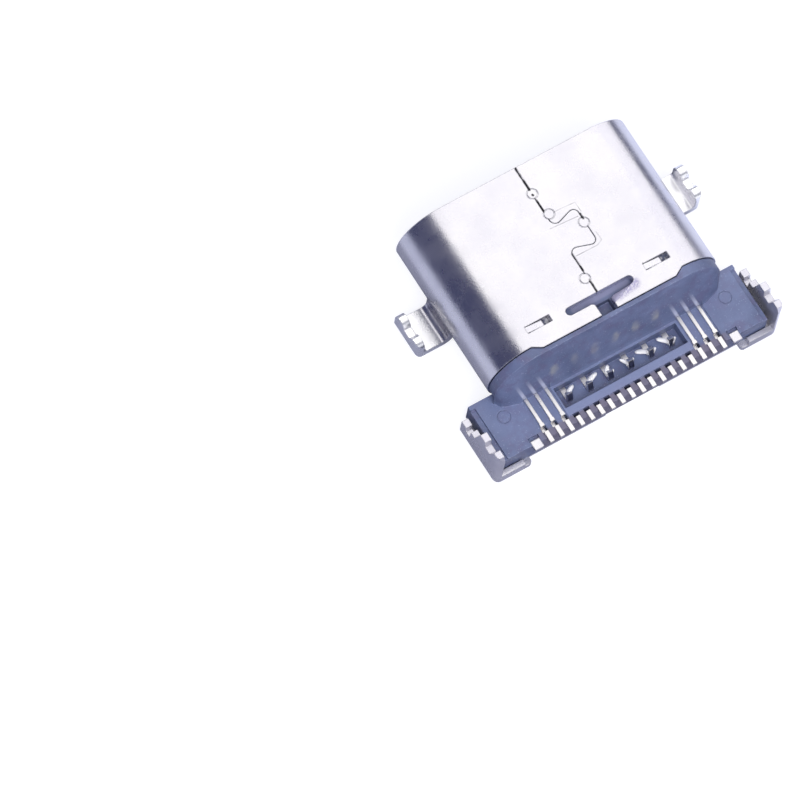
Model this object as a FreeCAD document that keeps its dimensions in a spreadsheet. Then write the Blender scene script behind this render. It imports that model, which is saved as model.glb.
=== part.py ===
import FreeCAD, Part
import Sketcher
import math
import os

# Mid-mount USB-C socket, millimetres. The seam of the shell faces +Z and the mouth faces -Y.
# Lengths along the depth are measured from the mouth; heights start at the cover plate's outer face.

SIZES = {
    # shell
    "shell_width": 8.94,
    "shell_height": 3.16,
    "shell_wall": 0.3,
    "shell_side_length": 5.75,
    "seam_face_half": 2.6,
    "edge_step_run": 0.35,
    "shell_floor_half": 3.35,
    "skirt_height": 0.55,
    "floor_notch_radius": 0.28,
    "floor_notch_pitch": 1.85,
    "slot_width": 0.3,
    "slot_half": 1.15,
    "slot_neck": 0.62,
    "finger_round": 0.12,
    "seam_gap": 0.045,
    "lock_start": 2.19,
    "lock_length": 1.24,
    "lock_depth": 1.0,
    "lock_round": 0.2,
    "lock_angle": 18,
    "dimple_length": 0.94,
    "dimple_width": 0.26,
    "dimple_centre": 2.3,
    "dimple_drop": 0.08,
    "dimple_gap": 0.02,
    "finger_slope": 0.32,
    "weld_ring": 0.2,
    "ring_width": 0.035,
    "ring_depth": 0.02,
    "window_start": 1.7,
    "window_length": 1.95,
    "window_inner": 2.62,
    "window_top": 1.0,
    "window_round": 0.35,
    "ear_start": 1.9,
    "ear_length": 1.42,
    "ear_wall": 0.28,
    "ear_rise": 0.45,
    "ear_bend": 0.12,
    "ear_tip_rise": 0.92,
    "ear_half": 5.62,
    "ear_lobe": 0.27,
    "ear_corner": 0.22,
    # cover plate
    "cover_wall": 0.2,
    "cover_half": 5.6,
    "cover_tongue_half": 2.9,
    "corner_inner": 4.12,
    "corner_round": 0.12,
    "corner_bend": 0.28,
    "lip_inner": 4.4,
    "lip_outer": 5.4,
    "rear_lip": 0.42,
    "dip_half": 1.07,
    "dip_depth": 0.1,
    "cove_round": 0.35,
    "leg_wall": 0.25,
    "leg_bend": 0.22,
    "leg_low": 0.87,
    "leg_low_dip": 0.62,
    "leg_middle": 1.05,
    "leg_high": 1.8,
    "leg_high_dip": 1.5,
    "leg_tip": 1.95,
    "lip_chamfer": 0.09,
    "weld_radius": 0.26,
    "weld_depth": 0.06,
    "tab_window_inner": 4.1,
    "tab_window_outer": 5.3,
    "tab_window_length": 0.85,
    "tab_margin": 0.16,
    "tab_drop": 0.28,
    "slit_inner": 3.95,
    "slit_width": 0.22,
    "slit_pitch": 0.62,
    # housing
    "fit_gap": 0.02,
    "flange_half": 5.2,
    "flange_top": 1.06,
    "mark_radius": 0.24,
    "mark_across": 4.35,
    "rim_width": 0.18,
    "rim_drop": 0.1,
    "brim_inset": 0.06,
    "hip_middle_half": 4.24,
    "hip_middle_round": 0.8,
    "hip_rear_half": 3.6,
    "hip_rear_rise": 0.08,
    "hip_rear_round": 0.05,
    "neck_drop": 0.3,
    "recess_half": 2.4,
    "recess_floor": 0.6,
    "socket_half": 0.17,
    "ledge_drop": 0.05,
    "trench_inner": 2.47,
    "trench_outer": 3.53,
    "notch_side": 0.03,
    "notch_floor": 0.6,
    # tongue and its plates
    "tongue_half": 3.345,
    "tongue_thickness": 0.7,
    "tongue_front": 0.95,
    "tongue_nose": 0.18,
    "tongue_step": 4.05,
    "root_half": 3.6,
    "root_thickness": 1.1,
    "plate_wall": 0.1,
    "plate_half": 3.2,
    "plate_front": 1.15,
    "latch_front": 1.9,
    "latch_length": 1.0,
    "latch_depth": 0.22,
    "ground_wall": 0.12,
    "ground_half": 3.1,
    # contacts
    "contact_wall": 0.12,
    "contact_pitch": 0.5,
    "contact_width": 0.25,
    "contact_front": 1.35,
    "short_contact_front": 1.75,
    "run_gap": 0.06,
    "pin_gap": 0.12,
    "tail_pitch": 0.4,
    "tail_width": 0.16,
    "strip_width": 0.12,
    "strip_dip": 0.24,
    "pin_pitch": 0.8,
    "pin_width": 0.2,
    "pin_top": 1.02,
    "flake_reach": 0.2,
    "tab_centre": 3.9,
    "tab_width": 0.34,
}

# Places behind the shell's side edge, so that the whole rear moves with the shell's length
PLACES = {
    "seam_face_length": 0.2,
    "shell_floor_length": -0.7,
    "skirt_length": 0.55,
    "slot_start": -0.6,
    "dimple_start": -0.71,
    "cover_front": -0.33,
    "wing_front": 0.35,
    "cover_rear": 2.27,
    "corner_rear": 2.55,
    "tab_window_start": 1.0,
    "slit_start": 0.9,
    "housing_front": -1.0,
    "collar_end": 0.37,
    "flange_front": 0.07,
    "flange_rear": 2.3,
    "mark_along": 0.95,
    "rim_start": 0.23,
    "hip_middle": 0.63,
    "hip_rear": 0.83,
    "recess_front": 0.91,
    "recess_rear": 1.71,
    "ledge_start": 2.0,
    "trench_start": 0.77,
    "tongue_end": -0.6,
    "plate_end": -0.45,
    "arm_front": -0.65,
    "arm_end": 0.22,
    "lower_leg": -0.33,
    "upper_leg": -0.03,
    "tail_end": 2.5,
    "strip_end": 1.88,
    "strip_restart": 2.07,
    "riser_front": 2.13,
    "jog_end": 0.7,
    "pin_place": 1.4,
    "tab_notch_front": 2.02,
    "tab_notch_rear": 2.16,
}

document = FreeCAD.newDocument("socket")
sheet = document.addObject("Spreadsheet::Sheet", "Sizes")
for row, (name, number) in enumerate((SIZES | PLACES).items(), start=1):
    sheet.set(f"A{row}", name)
    sheet.set(f"B{row}", str(number))
    sheet.setAlias(f"B{row}", name)
document.recompute()


class Size:
    """A number and the sheet formula behind it, so that both follow from one line of arithmetic."""

    def __init__(self, number, formula):
        self.number = number
        self.formula = formula

    def joined(self, sign, other, number):
        other = as_size(other)
        return Size(number(self.number, other.number), f"({self.formula} {sign} {other.formula})")

    def __add__(self, other):
        return self.joined("+", other, lambda a, b: a + b)

    def __sub__(self, other):
        return self.joined("-", other, lambda a, b: a - b)

    def __mul__(self, other):
        return self.joined("*", other, lambda a, b: a * b)

    def __truediv__(self, other):
        return self.joined("/", other, lambda a, b: a / b)

    def __neg__(self):
        return Size(-self.number, f"(-1 * {self.formula})")


def as_size(value):
    if isinstance(value, Size):
        return value
    return Size(float(value), repr(float(value)))


def sine(angle):
    return Size(math.sin(math.radians(angle.number)), f"sin({angle.formula} * 1 deg)")


def cosine(angle):
    return Size(math.cos(math.radians(angle.number)), f"cos({angle.formula} * 1 deg)")


class Names:
    """Every cell of the sheet as a Size."""


cell = Names()
for name, number in SIZES.items():
    setattr(cell, name, Size(number, f"Sizes.{name}"))
for name, number in PLACES.items():
    setattr(cell, name, cell.shell_side_length + Size(number, f"Sizes.{name}"))

ZERO = as_size(0)

# Levels and places that several pieces share
shell_bottom = cell.cover_wall
shell_top = shell_bottom + cell.shell_height
shell_middle = shell_bottom + cell.shell_height / 2
shell_half = cell.shell_width / 2
shell_radius = cell.shell_height / 2
bore_radius = shell_radius - cell.shell_wall
flat_half = shell_half - shell_radius
bore_half = flat_half + bore_radius
tail_top = cell.flange_top
tail_bottom = tail_top - cell.contact_wall
tongue_top = shell_middle + cell.tongue_thickness / 2
tongue_bottom = shell_middle - cell.tongue_thickness / 2
run_bottom = shell_bottom + cell.run_gap
run_top = run_bottom + cell.contact_wall
pin_run_bottom = run_top + cell.pin_gap
pin_run_top = pin_run_bottom + cell.contact_wall
tab_run_bottom = shell_bottom + cell.skirt_height + cell.fit_gap * 2
tab_run_top = tab_run_bottom + cell.contact_wall
depth_shift = -cell.corner_rear / 2


def bind(thing, path, size):
    thing.setExpression(path, as_size(size).formula)


def make_body(label):
    body = document.addObject("PartDesign::Body", label)
    body.Label = label
    bind(body, "Placement.Base.y", depth_shift)
    return body


def make_sketch(body, name, plane, offset=None):
    """A sketch on one of the body's origin planes, moved along that plane's normal by offset."""
    sketch = body.newObject("Sketcher::SketchObject", f"{body.Name}_{name}")
    role = {"XY": "XY_Plane", "XZ": "XZ_Plane", "YZ": "YZ_Plane"}[plane]
    datum = next(feature for feature in body.Origin.OriginFeatures if feature.Role == role)
    sketch.AttachmentSupport = [(datum, "")]
    sketch.MapMode = "FlatFace"
    if offset is not None:
        bind(sketch, "AttachmentOffset.Base.z", offset)
    return sketch


def place_point(sketch, edge, end, point):
    """Fix one end of an edge at its two named distances from the sketch's origin."""
    for kind, axis, size in (("DistanceX", -2, point[0]), ("DistanceY", -1, point[1])):
        if size.formula == ZERO.formula:
            sketch.addConstraint(Sketcher.Constraint("PointOnObject", edge, end, axis))
            continue
        index = sketch.addConstraint(Sketcher.Constraint(kind, -1, 1, edge, end, size.number))
        bind(sketch, f"Constraints[{index}]", size)


def draw(sketch, corners, arcs=None, closed=True):
    """Draw lines from corner to corner. arcs gives an edge a radius, negative where it turns clockwise."""
    arcs = arcs or {}
    corners = [(as_size(a), as_size(b)) for a, b in corners]
    points = [FreeCAD.Vector(a.number, b.number, 0) for a, b in corners]
    count = len(points) if closed else len(points) - 1
    ends = []
    for i in range(count):
        start, end = points[i], points[(i + 1) % len(points)]
        if i not in arcs:
            edge = sketch.addGeometry(Part.LineSegment(start, end), False)
            ends.append((edge, 1, 2))
            continue
        radius = as_size(arcs[i])
        chord = end - start
        left = FreeCAD.Vector(-chord.y, chord.x, 0).normalize()
        height = math.sqrt(max(radius.number ** 2 - chord.Length ** 2 / 4, 0))
        turn = 1 if radius.number > 0 else -1
        centre = (start + end) * 0.5 + left * height * turn
        circle = Part.Circle(centre, FreeCAD.Vector(0, 0, 1), abs(radius.number))
        first, last = (start, end) if turn > 0 else (end, start)
        span = [math.atan2(p.y - centre.y, p.x - centre.x) for p in (first, last)]
        edge = sketch.addGeometry(Part.ArcOfCircle(circle, span[0], span[1]), False)
        ends.append((edge, 1, 2) if turn > 0 else (edge, 2, 1))
    for i, (edge, start, end) in enumerate(ends):
        place_point(sketch, edge, start, corners[i])
        if i + 1 < len(ends) or closed:
            following = ends[(i + 1) % len(ends)]
            sketch.addConstraint(Sketcher.Constraint("Coincident", edge, end, following[0], following[1]))
        else:
            place_point(sketch, edge, end, corners[-1])
        if i in arcs:
            radius = as_size(arcs[i])
            if radius.number < 0:
                radius = -radius
            chord = points[(i + 1) % len(points)] - points[i]
            if chord.Length < 1.999 * radius.number:
                index = sketch.addConstraint(Sketcher.Constraint("Radius", edge, radius.number))
                bind(sketch, f"Constraints[{index}]", radius)
            else:
                half_turn_centre(sketch, edge, corners[i], corners[(i + 1) % len(points)])
    return sketch


def half_turn_centre(sketch, edge, start, end):
    """A half circle is fixed by keeping its centre on the line between its ends."""
    upright = abs(start[0].number - end[0].number) < 1e-9
    kind, which = ("DistanceX", 0) if upright else ("DistanceY", 1)
    middle = (start[which] + end[which]) / 2
    index = sketch.addConstraint(Sketcher.Constraint(kind, -1, 1, edge, 3, middle.number))
    bind(sketch, f"Constraints[{index}]", middle)


def circle(sketch, centre, radius):
    centre = [as_size(size) for size in centre]
    middle = FreeCAD.Vector(centre[0].number, centre[1].number, 0)
    edge = sketch.addGeometry(Part.Circle(middle, FreeCAD.Vector(0, 0, 1), radius.number), False)
    place_point(sketch, edge, 3, centre)
    index = sketch.addConstraint(Sketcher.Constraint("Radius", edge, radius.number))
    bind(sketch, f"Constraints[{index}]", radius)


def extrude(body, sketch, length, kind="Pad", reverse=False, middle=False):
    feature = body.newObject(f"PartDesign::{kind}", f"{sketch.Name}_{kind}")
    feature.Profile = sketch
    bind(feature, "Length", length)
    feature.Reversed = reverse
    feature.Midplane = middle
    sketch.Visibility = False
    return feature


def plan(body, name, bottom, height, corners, arcs=None, kind="Pad"):
    """An outline seen from above, made or cut upwards from a level."""
    sketch = draw(make_sketch(body, name, "XY", bottom), corners, arcs)
    return extrude(body, sketch, height, kind, reverse=(kind == "Pocket"))


def plan_row(body, name, bottom, height, outlines):
    """Several outlines seen from above, cut upwards from one level."""
    sketch = make_sketch(body, name, "XY", bottom)
    for corners in outlines:
        draw(sketch, corners)
    return extrude(body, sketch, height, "Pocket", reverse=True)


def front(body, name, start, length, corners, arcs=None, kind="Pad"):
    """An outline seen from the mouth, made or cut backwards from a distance behind the mouth."""
    sketch = draw(make_sketch(body, name, "XZ", -as_size(start)), corners, arcs)
    return extrude(body, sketch, length, kind, reverse=(kind == "Pad"))


def side(body, name, start, length, corners, arcs=None, kind="Pad"):
    """An outline seen from +X, made or cut towards +X from a place across the width."""
    sketch = draw(make_sketch(body, name, "YZ", start), corners, arcs)
    return extrude(body, sketch, length, kind, reverse=(kind == "Pocket"))


def box_corners(left, right, low, high):
    return [(left, low), (right, low), (right, high), (left, high)]


def round_corners(left, right, low, high, radius):
    """A rectangle with round corners, and its arcs."""
    corners = [(left + radius, low), (right - radius, low), (right, low + radius), (right, high - radius),
               (right - radius, high), (left + radius, high), (left, high - radius), (left, low + radius)]
    return corners, {1: radius, 3: radius, 5: radius, 7: radius}


def mirror(body, *features):
    """Copy features to the other side of the middle plane."""
    plane = next(feature for feature in body.Origin.OriginFeatures if feature.Role == "YZ_Plane")
    copy = body.newObject("PartDesign::Mirrored", f"{features[-1].Name}_mirrored")
    copy.Originals = list(features)
    copy.MirrorPlane = (plane, [""])
    body.Tip = copy
    return copy


def stadium(half, radius, middle):
    """The socket's round-ended outline."""
    flat, low, high = half - radius, middle - radius, middle + radius
    return [(-flat, low), (flat, low), (flat, high), (-flat, high)], {1: radius, 3: radius}


def boolean(kind, label, base, tool):
    feature = document.addObject(f"Part::{kind}", label)
    feature.Label = label
    feature.Base = base
    feature.Tool = tool
    return feature


def shell():
    body = make_body("shell_sheet")
    ring = make_sketch(body, "ring", "XZ")
    draw(ring, *stadium(shell_half, shell_radius, shell_middle))
    draw(ring, *stadium(bore_half, bore_radius, shell_middle))
    extrude(body, ring, cell.skirt_length, reverse=True)

    # rear edge: the seam face reaches furthest, the sides step forward, and the skirts run on under the cover
    past = cell.skirt_length + cell.shell_wall
    inner = cell.seam_face_half
    outer = inner + cell.edge_step_run
    bend = (cell.seam_face_length - cell.shell_side_length) / 2
    middle_x = (inner + outer) / 2
    middle_y = cell.seam_face_length - bend
    rear = [(-past, cell.shell_side_length), (-outer, cell.shell_side_length), (-middle_x, middle_y),
            (-inner, cell.seam_face_length), (inner, cell.seam_face_length), (middle_x, middle_y),
            (outer, cell.shell_side_length), (past, cell.shell_side_length), (past, past), (-past, past)]
    skirt_top = shell_bottom + cell.skirt_height
    plan(body, "rear_edge", skirt_top, cell.shell_height, rear, kind="Pocket")

    # floor: cut back in the middle, with three half-round notches
    half, start, radius = cell.shell_floor_half, cell.shell_floor_length, cell.floor_notch_radius
    floor = [(-half, past), (-half, start)]
    arcs = {}
    for step in (-1, 0, 1):
        centre = cell.floor_notch_pitch * step
        arcs[len(floor)] = radius
        floor += [(centre - radius, start), (centre + radius, start)]
    floor += [(half, start), (half, past)]
    plan(body, "floor_edge", ZERO, skirt_top, floor, arcs, kind="Pocket")

    # T-shaped slot with rounded finger ends
    low, high = cell.slot_start, cell.slot_start + cell.slot_width
    reach, neck, finger = cell.slot_half, cell.slot_neck / 2, cell.finger_round
    slot = [(-reach, low), (reach, low), (reach, high), (neck + finger, high), (neck, high + finger),
            (neck, past), (-neck, past), (-neck, high + cell.finger_slope), (-reach, high)]
    arcs = {1: cell.slot_width / 2, 3: -finger, 8: cell.slot_width / 2}
    plan(body, "slot", shell_middle, cell.shell_height, slot, arcs, kind="Pocket")

    # lanced dimples: an opening with a ramp that dips towards its open end
    start, width = cell.dimple_start, cell.dimple_width
    for number, place in enumerate((cell.dimple_centre, -cell.dimple_centre)):
        left, right = place - cell.dimple_length / 2, place + cell.dimple_length / 2
        plan(body, f"dimple_{number}", shell_middle, cell.shell_height,
             box_corners(left, right, start, start + width), kind="Pocket")
        root_end, ramp_end = right + cell.shell_wall / 2, left + cell.shell_wall
        under, drop = shell_top - cell.shell_wall, cell.dimple_drop
        ramp = [(root_end, shell_top), (right, shell_top), (ramp_end, shell_top - drop),
                (ramp_end, under - drop), (right, under), (root_end, under)]
        slit = cell.dimple_gap
        front(body, f"ramp_{number}", start + slit, width - slit * 2, ramp)

    # spot welds along the seam: a fine ring round each
    rings = make_sketch(body, "weld_rings", "XY", shell_top - cell.ring_depth)
    for centre in weld_centres():
        circle(rings, centre, cell.weld_ring)
        circle(rings, centre, cell.weld_ring - cell.ring_width)
    extrude(body, rings, cell.shell_wall, "Pocket", reverse=True)

    # windows round the lower corners, and the ears bent out of them
    low, high = cell.window_start, cell.window_start + cell.window_length
    corners, arcs = round_corners(cell.window_inner, shell_half + cell.window_round * 2, low, high,
                                  cell.window_round)
    window = plan(body, "window", ZERO, shell_bottom + cell.window_top, corners, arcs, kind="Pocket")
    mirror(body, window)
    ears(body)
    return body


def weld_centres():
    """Where the seam is spot-welded: before the lock, at its root, on its end and near the slot."""
    first, ring = cell.lock_start, cell.weld_ring
    on_lock = (ring / 4 - cell.lock_depth, first + cell.lock_length / 2)
    return [(ZERO, first / 2), (-ring / 2, first - ring), on_lock, (ring / 2, cell.slot_start - ring * 3)]


def ears(body):
    """Flat ears beside the shell, whose tips turn up through the board."""
    wall, bend = cell.ear_wall, cell.ear_bend
    low = cell.ear_rise
    high = low + wall
    root_low = shell_bottom + cell.window_top
    root_high = root_low + cell.shell_wall
    inner, outer = shell_half - cell.shell_wall, shell_half - cell.shell_wall / 4
    tip = cell.ear_half
    top = low + cell.ear_tip_rise
    knee = bend + wall / 2
    profile = [(inner, root_high), (inner, high + bend), (inner + wall + bend, low),
               (tip - knee, low), (tip, low + knee), (tip, top), (tip - wall, top),
               (tip - wall, high + bend), (tip - wall - bend, high), (outer + bend * 2, high),
               (outer, high + bend * 2), (outer, root_high)]
    arcs = {1: wall + bend, 3: knee, 7: -bend, 9: -bend * 2}
    ear = front(body, "ear", cell.ear_start, cell.ear_length, profile, arcs)
    lobe, start, end = cell.ear_lobe, cell.ear_start, cell.ear_start + cell.ear_length
    saddle = top - lobe
    above = [(start - wall, top + wall), (start - wall, saddle), (start, saddle),
             (start + lobe * 2, saddle), (end - lobe * 2, saddle), (end, saddle),
             (end + wall, saddle), (end + wall, top + wall)]
    lobes = side(body, "ear_lobes", tip - wall * 1.5, wall * 2, above, {2: -lobe, 4: -lobe},
                 kind="Pocket")
    corner = cell.ear_corner
    past_tip, past_end = tip + wall, end + wall
    soft = plan(body, "ear_corner", low - wall, cell.ear_tip_rise + wall * 2,
                [(tip - corner, past_end), (tip - corner, end), (tip, end - corner),
                 (past_tip, end - corner), (past_tip, past_end)], {1: -corner}, kind="Pocket")
    mirror(body, ear, lobes, soft)


def seam(sheet_body):
    """Cut the interlocked seam: a straight line with a dovetail that swings to one side and back."""
    path = document.addObject("Sketcher::SketchObject", "seam_path")
    radius, reach, angle = cell.lock_round, cell.lock_depth, cell.lock_angle
    lean, level = sine(angle), cosine(angle)
    flank = reach - radius * 2 - radius * lean * 2
    swing = radius * level * 2 - flank * lean / level
    first = cell.lock_start + depth_shift
    second = first + cell.lock_length
    points = [(ZERO, depth_shift - cell.shell_wall), (ZERO, first),
              (-radius - radius * lean, first + radius * level),
              (-reach + radius + radius * lean, first + swing - radius * level),
              (-reach, first + swing), (-reach, second),
              (-reach + radius + radius * lean, second + radius * level),
              (-radius - radius * lean, second + swing - radius * level),
              (ZERO, second + swing), (ZERO, depth_shift + cell.slot_start + cell.slot_width / 2)]
    draw(path, points, {1: radius, 3: -radius, 5: -radius, 7: radius}, closed=False)
    bind(path, "Placement.Base.z", shell_middle)
    line = document.addObject("Part::Offset2D", "seam_line")
    line.Source = path
    line.Mode = "Skin"
    line.Fill = True
    bind(line, "Value", cell.seam_gap / 2)
    blade = document.addObject("Part::Extrusion", "seam_blade")
    blade.Base = line
    blade.DirMode = "Custom"
    blade.Dir = FreeCAD.Vector(0, 0, 1)
    blade.Solid = True
    bind(blade, "LengthFwd", cell.shell_height)
    parted = boolean("Cut", "shell_with_seam", sheet_body, blade)
    joined = document.addObject("Part::MultiFuse", "shell")
    joined.Label = "shell"
    joined.Shapes = [parted] + [nugget(number, centre) for number, centre in enumerate(weld_centres())]
    return joined


def nugget(number, centre):
    """A spot of weld that bridges the seam."""
    spot = document.addObject("Part::Cylinder", f"weld_nugget_{number}")
    bind(spot, "Radius", cell.weld_ring - cell.ring_width)
    bind(spot, "Height", cell.shell_wall)
    bind(spot, "Placement.Base.x", centre[0])
    bind(spot, "Placement.Base.y", centre[1] + depth_shift)
    bind(spot, "Placement.Base.z", shell_top - cell.shell_wall)
    return spot


def cover_plate():
    body = make_body("cover_plate")
    wall, half, cove = cell.cover_wall, cell.cover_half, cell.cove_round
    tongue, wing = cell.cover_tongue_half, cell.wing_front
    corner, inner, dip = cell.corner_rear, cell.corner_inner, cell.dip_half
    soft = cell.corner_round
    rear = cell.cover_rear
    right = [(tongue, cell.cover_front), (tongue, wing - cove), (tongue + cove, wing), (half, wing),
             (half, corner), (inner + soft, corner), (inner, corner - soft), (inner, rear),
             (dip, rear), (dip - cell.dip_depth, rear - cell.dip_depth)]
    left = [(-x, y) for x, y in reversed(right)]
    arcs = {1: -cove, 5: soft, 13: soft, 17: -cove}
    plan(body, "plate", ZERO, wall, right + left, arcs)

    # side legs with stepped tips
    leg = [(wing, wall), (wing, cell.leg_low)]
    rise = (corner - wing) / 10
    heights = [(1.25, cell.leg_low), (1.4, cell.leg_low_dip), (2.35, cell.leg_low_dip),
               (2.5, cell.leg_middle), (3.5, cell.leg_middle), (4.6, cell.leg_high),
               (6.0, cell.leg_high), (6.2, cell.leg_high_dip), (7.5, cell.leg_high_dip),
               (8.3, cell.leg_tip), (9.5, cell.leg_tip)]
    leg += [(wing + rise * share, height) for share, height in heights]
    leg += [(corner, cell.leg_tip - rise), (corner, ZERO), (wing, ZERO)]
    leg_pad = side(body, "leg", half - cell.leg_wall, cell.leg_wall, leg)
    lip_pad = side(body, "rear_lip", cell.lip_inner, cell.lip_outer - cell.lip_inner,
                   box_corners(corner - wall, corner, ZERO, cell.rear_lip))
    mirror(body, leg_pad, lip_pad)
    bend_edges(body, wing, corner)
    bend = cell.corner_bend
    outside = half + wall
    rounding = plan(body, "corner", ZERO, cell.leg_tip + wall,
                    [(half - bend, corner + wall), (half - bend, corner), (half, corner - bend),
                     (outside, corner - bend), (outside, corner + wall)], {1: -bend}, kind="Pocket")
    mirror(body, rounding)

    # front lip: a chamfer under the tongue's edge and three weld dimples
    front_lip(body, tongue)
    start = cell.cover_front
    for step in (-1, 0, 1):
        centre, radius = cell.floor_notch_pitch * step, cell.weld_radius
        plan(body, f"weld_{step + 1}", ZERO, cell.weld_depth,
             box_corners(centre - radius, centre + radius, start - radius, start), {2: radius},
             kind="Pocket")

    # window with a pressed-in tab at one end, two tapered slits at the other
    low = cell.tab_window_start
    high = low + cell.tab_window_length
    outer, inside, margin = -cell.tab_window_outer, -cell.tab_window_inner, cell.tab_margin
    plan(body, "tab_window", ZERO, wall, *round_corners(outer, inside, low, high, margin), kind="Pocket")
    near, far, drop = inside - margin, outer + margin * 2, cell.tab_drop
    tab = [(inside + wall, ZERO), (inside + wall, wall), (near, wall + drop), (far, wall + drop),
           (far, drop), (near, drop)]
    front(body, "tab", low + margin, cell.tab_window_length - margin * 2, tab)
    for number in range(2):
        start = cell.slit_start + cell.slit_pitch * number
        width, point = cell.slit_width, cell.slit_inner
        slit = [(point, start + width / 4), (half - wall * 1.5, start - width / 4),
                (half - wall * 1.5, start + width), (point, start + width * 3 / 4)]
        plan(body, f"slit_{number}", ZERO, wall, slit, {3: width / 4}, kind="Pocket")
    return body


def front_lip(body, tongue):
    """The front edge of the cover's tongue is coined to a slope."""
    start, slope = cell.cover_front, cell.lip_chamfer
    side(body, "lip", -tongue, tongue * 2, [(start, ZERO), (start + slope, ZERO), (start, slope)],
         kind="Pocket")


def bend_edges(body, wing, corner):
    """Round the outer bend between the plate and each leg."""
    document.recompute()
    names = []
    for number, edge in enumerate(body.Shape.Edges, start=1):
        box = edge.BoundBox
        long_enough = box.YLength > 0.9 * (corner.number - wing.number)
        if long_enough and box.ZMax < 1e-6 and abs(abs(box.XMin) - cell.cover_half.number) < 1e-6:
            names.append(f"Edge{number}")
    unbent = body.Tip
    fillet = body.newObject("PartDesign::Fillet", "cover_bend")
    fillet.Base = (unbent, names)
    bind(fillet, "Radius", cell.leg_bend)
    body.Tip = fillet
    return fillet


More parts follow.
